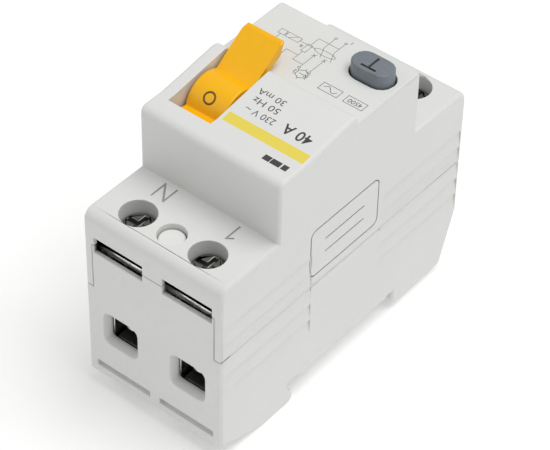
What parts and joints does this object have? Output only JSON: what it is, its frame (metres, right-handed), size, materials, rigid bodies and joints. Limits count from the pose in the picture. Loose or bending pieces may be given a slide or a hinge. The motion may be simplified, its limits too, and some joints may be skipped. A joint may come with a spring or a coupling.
{
  "type": "residual current device",
  "caption": "Rail-mounted two-pole residual current device with a side-by-side amber toggle and test button, screw terminals at both ends and a sprung rail latch.",
  "frame": {"origin": "centre of the rail seat plane: midway between the sides and between the two hooks, where the back of the housing rests on the rail", "axes": "+Z out of the rail towards the front with the toggle, +X across the modules from neutral to line, -Y end carries the supply terminals, +Y end the load terminals and the rail latch"},
  "size_m": [0.036, 0.079, 0.0701],
  "materials": {
    "housing": "fine matt moulded thermoplastic, light warm grey",
    "steel": "zinc-plated steel",
    "dark_plastic": "black-grey engineering plastic",
    "nickel": "nickel-plated steel",
    "dark_steel": "dark chromated steel",
    "copper": null,
    "toggle": "semi-gloss amber moulded plastic",
    "blue": "blue insulation or coating",
    "brown": "brown insulation",
    "flag": "green and red moulded flag",
    "black": "black moulding compound",
    "ferrite": null,
    "board": "glass-epoxy laminate with green solder mask",
    "capacitor": "shrink sleeve",
    "resistor": "lacquered body",
    "button": "satin slate grey moulded plastic"
  },
  "bodies": {
    "housing": {"front_cover": "housing", "rear_base": "housing", "screw_plug_supply": "housing", "case_screw_supply": "steel", "screw_plug_load": "housing", "case_screw_load": "steel", "latch_spring": "steel", "terminal_box_supply_n": "nickel", "strap_supply_n": "copper", "terminal_box_supply_l": "nickel", "strap_supply_l": "copper", "terminal_box_load_n": "nickel", "strap_load_n": "copper", "terminal_box_load_l": "nickel", "strap_load_l": "copper", "toggle_pin": "steel", "toggle_spring": "steel", "middle_strap_n": "copper", "primary_conductor_n": "blue", "middle_strap_l": "copper", "primary_conductor_l": "brown", "relay_frame": "steel", "relay_bobbin": "black", "relay_winding": "copper", "plunger_spring": "steel", "trip_pin": "steel", "side_plate_inner": "steel", "side_plate_outer": "steel", "toroid_core": "ferrite", "secondary_winding": "copper", "circuit_board": "board", "capacitor": "capacitor", "thyristor": "black", "varistor": "blue", "gate_resistor": "resistor", "test_resistor": "resistor", "button_spring": "steel", "test_bracket": "dark_plastic", "test_blade": "copper"},
    "toggle": {"toggle_handle": "toggle"},
    "link": {"drive_link": "steel"},
    "carrier": {"contact_carrier": "dark_plastic", "contact_spring_n": "steel", "contact_spring_l": "steel"},
    "moving_contact_n": {"moving_contact_n": "copper"},
    "moving_contact_l": {"moving_contact_l": "copper"},
    "status_flag": {"status_flag": "flag"},
    "plunger": {"trip_plunger": "steel"},
    "trip_lever": {"trip_lever": "dark_plastic"},
    "test_button": {"test_button": "button"},
    "rail_latch": {"rail_latch": "dark_plastic"},
    "foot_supply_n": {"pressure_foot_supply_n": "nickel"},
    "screw_supply_n": {"terminal_screw_supply_n": "dark_steel"},
    "foot_supply_l": {"pressure_foot_supply_l": "nickel"},
    "screw_supply_l": {"terminal_screw_supply_l": "dark_steel"},
    "foot_load_n": {"pressure_foot_load_n": "nickel"},
    "screw_load_n": {"terminal_screw_load_n": "dark_steel"},
    "foot_load_l": {"pressure_foot_load_l": "nickel"},
    "screw_load_l": {"terminal_screw_load_l": "dark_steel"}
  },
  "joints": [
    {"name": "toggle_turn", "type": "hinge", "parent": "housing", "child": "toggle", "pos_m": [-0.0095, -0.0069, 0.0539], "axis": [1, 0, 0], "range_deg": [0, 90], "deforming": ["toggle_spring"]},
    {"name": "link_swing", "type": "hinge", "parent": "toggle", "child": "link", "pos_m": [-0.0095, -0.01281, 0.05286], "axis": [1, 0, 0], "range_deg": [-124.63, 0]},
    {"name": "carrier_slide", "type": "slide", "parent": "housing", "child": "carrier", "axis": [0, 0, -1], "range_m": [0, 0.00632]},
    {"name": "contact_n_lift", "type": "slide", "parent": "carrier", "child": "moving_contact_n", "axis": [0, 0, 1], "range_m": [0, 0.001], "stiffness_N_per_m": 1200, "springref_m": -0.0015, "deforming": ["contact_spring_n"]},
    {"name": "contact_l_lift", "type": "slide", "parent": "carrier", "child": "moving_contact_l", "axis": [0, 0, 1], "range_m": [0, 0.001], "stiffness_N_per_m": 1200, "springref_m": -0.0015, "deforming": ["contact_spring_l"]},
    {"name": "flag_slide", "type": "slide", "parent": "housing", "child": "status_flag", "axis": [0, 1, 0], "range_m": [0, 0.004]},
    {"name": "plunger_slide", "type": "slide", "parent": "housing", "child": "plunger", "axis": [0, 1, 0], "range_m": [0, 0.00192], "deforming": ["plunger_spring"]},
    {"name": "trip_lever_swing", "type": "hinge", "parent": "housing", "child": "trip_lever", "pos_m": [0.009, -0.0015, 0.05], "axis": [1, 0, 0], "range_deg": [0, 25]},
    {"name": "test_button_press", "type": "slide", "parent": "housing", "child": "test_button", "axis": [0, 0, -1], "range_m": [0, 0.0018], "stiffness_N_per_m": 900, "springref_m": -0.001, "deforming": ["button_spring"]},
    {"name": "latch_slide", "type": "slide", "parent": "housing", "child": "rail_latch", "axis": [0, 1, 0], "range_m": [0, 0.003], "stiffness_N_per_m": 1000, "springref_m": -0.002, "deforming": ["latch_spring"]},
    {"name": "feed_supply_n", "type": "slide", "parent": "housing", "child": "foot_supply_n", "axis": [0, 0, -1], "range_m": [-0.0026, 0.0026]},
    {"name": "turn_supply_n", "type": "hinge", "parent": "foot_supply_n", "child": "screw_supply_n", "pos_m": [-0.009, -0.03305, 0.038], "axis": [0, 0, -1], "range_deg": [-1170.5, 1170.5]},
    {"name": "feed_supply_l", "type": "slide", "parent": "housing", "child": "foot_supply_l", "axis": [0, 0, -1], "range_m": [-0.0026, 0.0026]},
    {"name": "turn_supply_l", "type": "hinge", "parent": "foot_supply_l", "child": "screw_supply_l", "pos_m": [0.009, -0.03305, 0.038], "axis": [0, 0, -1], "range_deg": [-1170.5, 1170.5]},
    {"name": "feed_load_n", "type": "slide", "parent": "housing", "child": "foot_load_n", "axis": [0, 0, -1], "range_m": [-0.0026, 0.0026]},
    {"name": "turn_load_n", "type": "hinge", "parent": "foot_load_n", "child": "screw_load_n", "pos_m": [-0.009, 0.03305, 0.038], "axis": [0, 0, -1], "range_deg": [-1170.5, 1170.5]},
    {"name": "feed_load_l", "type": "slide", "parent": "housing", "child": "foot_load_l", "axis": [0, 0, -1], "range_m": [-0.0026, 0.0026]},
    {"name": "turn_load_l", "type": "hinge", "parent": "foot_load_l", "child": "screw_load_l", "pos_m": [0.009, 0.03305, 0.038], "axis": [0, 0, -1], "range_deg": [-1170.5, 1170.5]}
  ],
  "couplings": [
    {"joint": "link_swing", "follows": "toggle_turn", "ratio": -1.3836},
    {"joint": "carrier_slide", "follows": "toggle_turn", "m_per_rad": 0.0040217},
    {"joint": "flag_slide", "follows": "toggle_turn", "m_per_rad": 0.0025465},
    {"joint": "trip_lever_swing", "follows": "plunger_slide", "rad_per_m": 227.27},
    {"joint": "turn_supply_n", "follows": "feed_supply_n", "rad_per_m": 7854},
    {"joint": "turn_supply_l", "follows": "feed_supply_l", "rad_per_m": 7854},
    {"joint": "turn_load_n", "follows": "feed_load_n", "rad_per_m": 7854},
    {"joint": "turn_load_l", "follows": "feed_load_l", "rad_per_m": 7854}
  ]
}
